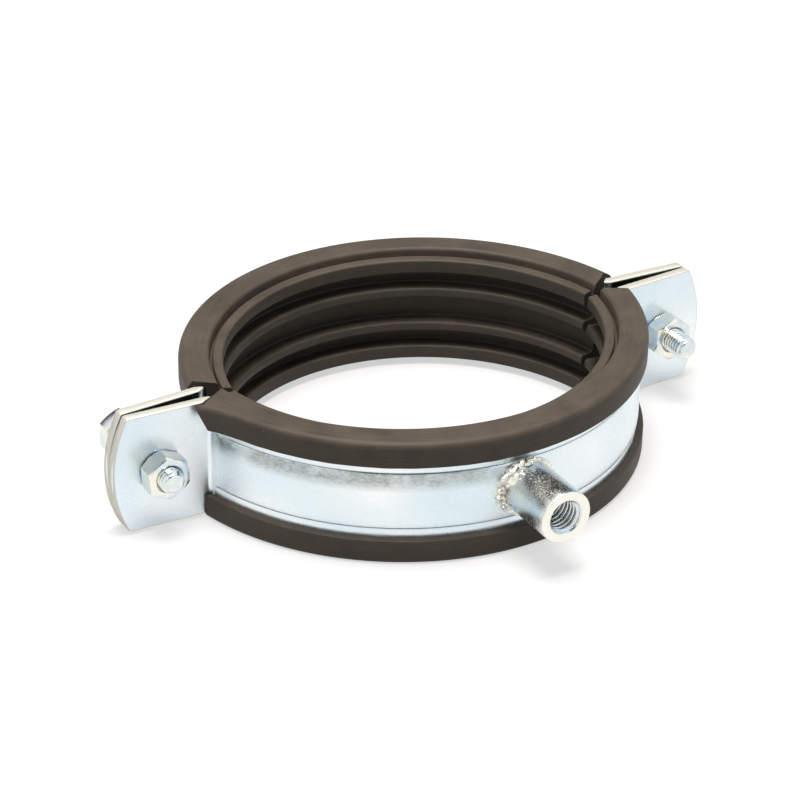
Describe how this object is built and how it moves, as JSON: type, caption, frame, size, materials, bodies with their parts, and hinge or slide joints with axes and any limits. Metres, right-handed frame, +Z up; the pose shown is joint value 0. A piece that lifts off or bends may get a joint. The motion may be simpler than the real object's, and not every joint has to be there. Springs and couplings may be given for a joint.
{
  "type": "rubber lined pipe clamp",
  "caption": "Round pipe clamp of two steel half bands with rubber liners, closed by screws and nuts through flat ears, with a threaded boss for a hanger rod.",
  "frame": {"origin": "on the pipe's axis, midway between the two halves, at the underside of the rubber that the clamp lies on", "axes": "+Z up the pipe's axis, +X to the right pair of ears, -Y the way the threaded boss points"},
  "size_m": [0.164, 0.1191, 0.0316],
  "materials": {
    "band_steel": "zinc plated, satin",
    "boss_steel": "zinc plated, turned",
    "weld_metal": "plated weld, lumpy",
    "fastener_steel": "zinc plated",
    "liner_rubber": "matte moulded rubber"
  },
  "bodies": {
    "front_half": {"front_band": "band_steel", "front_liner": "liner_rubber", "boss": "boss_steel", "weld_bead": "weld_metal"},
    "rear_half": {"rear_band": "band_steel", "rear_liner": "liner_rubber"},
    "left_nut": {"left_nut": "fastener_steel"},
    "right_nut": {"right_nut": "fastener_steel"},
    "left_screw": {"left_screw": "fastener_steel"},
    "right_screw": {"right_screw": "fastener_steel"}
  },
  "joints": [
    {"name": "clamp_open", "type": "slide", "parent": "front_half", "child": "rear_half", "axis": [0, 1, 0], "range_m": [0, 0.0033]},
    {"name": "left_screw_feed", "type": "slide", "parent": "front_half", "child": "left_screw", "axis": [0, 1, 0], "range_m": [-0.005, 0.005]},
    {"name": "left_nut_turn", "type": "hinge", "parent": "front_half", "child": "left_nut", "pos_m": [-0.0704, -0.006, 0.0158], "axis": [0, 1, 0], "range_deg": [-1801, 1801]},
    {"name": "right_screw_feed", "type": "slide", "parent": "front_half", "child": "right_screw", "axis": [0, 1, 0], "range_m": [-0.0032, 0.005]},
    {"name": "right_nut_turn", "type": "hinge", "parent": "front_half", "child": "right_nut", "pos_m": [0.0704, -0.006, 0.0158], "axis": [0, 1, 0], "range_deg": [-1801, 1801]}
  ],
  "couplings": [
    {"joint": "left_nut_turn", "follows": "left_screw_feed", "rad_per_m": -6283.2},
    {"joint": "right_nut_turn", "follows": "right_screw_feed", "rad_per_m": -6283.2}
  ]
}
